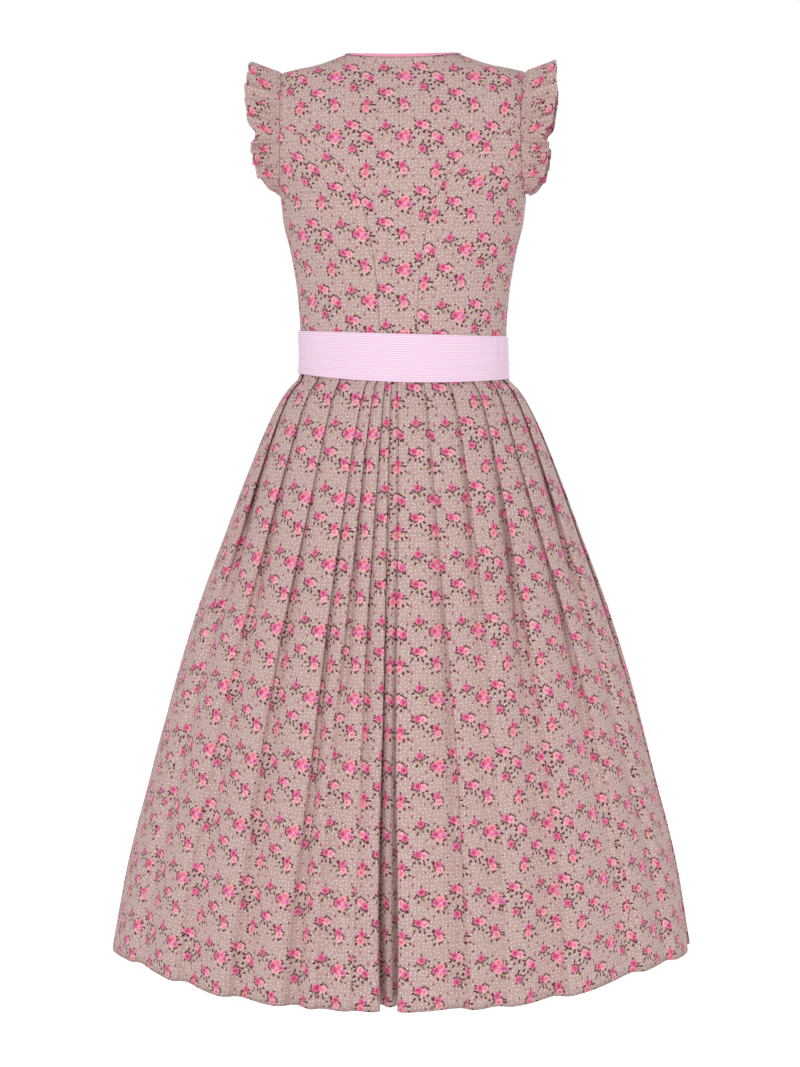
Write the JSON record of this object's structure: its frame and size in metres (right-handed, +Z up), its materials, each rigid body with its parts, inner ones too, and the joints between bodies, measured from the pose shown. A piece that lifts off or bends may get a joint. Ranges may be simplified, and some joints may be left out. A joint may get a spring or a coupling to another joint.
{
  "type": "sleeveless pleated dirndl with frilled armholes and waist sash",
  "caption": "Filled-out sleeveless dirndl: princess-seamed bodice, gathered armhole frills, wide striped waist sash and a full pleated midi skirt in a small rose print.",
  "frame": {"origin": "midway between the shoulders, level with the neck points, where the wearer's shoulders hold it", "axes": "+Z up, the front faces -Y, the wearer's left is +X"},
  "size_m": [0.7016, 0.5927, 1.084],
  "materials": {
    "print": "matt rose-printed cotton",
    "stripe": "soft satin fine-striped cotton",
    "edging": "matt pink cotton"
  },
  "bodies": {
    "root": {"back_centre": "print", "back_side_left": "print", "back_side_right": "print", "front_side_left": "print", "front_side_right": "print", "front_centre_left": "print", "front_centre_right": "print", "neck_edge": "edging", "frill_left": "print", "frill_right": "print", "skirt_back": "print", "skirt_front": "print", "sash": "stripe"}
  },
  "joints": []
}
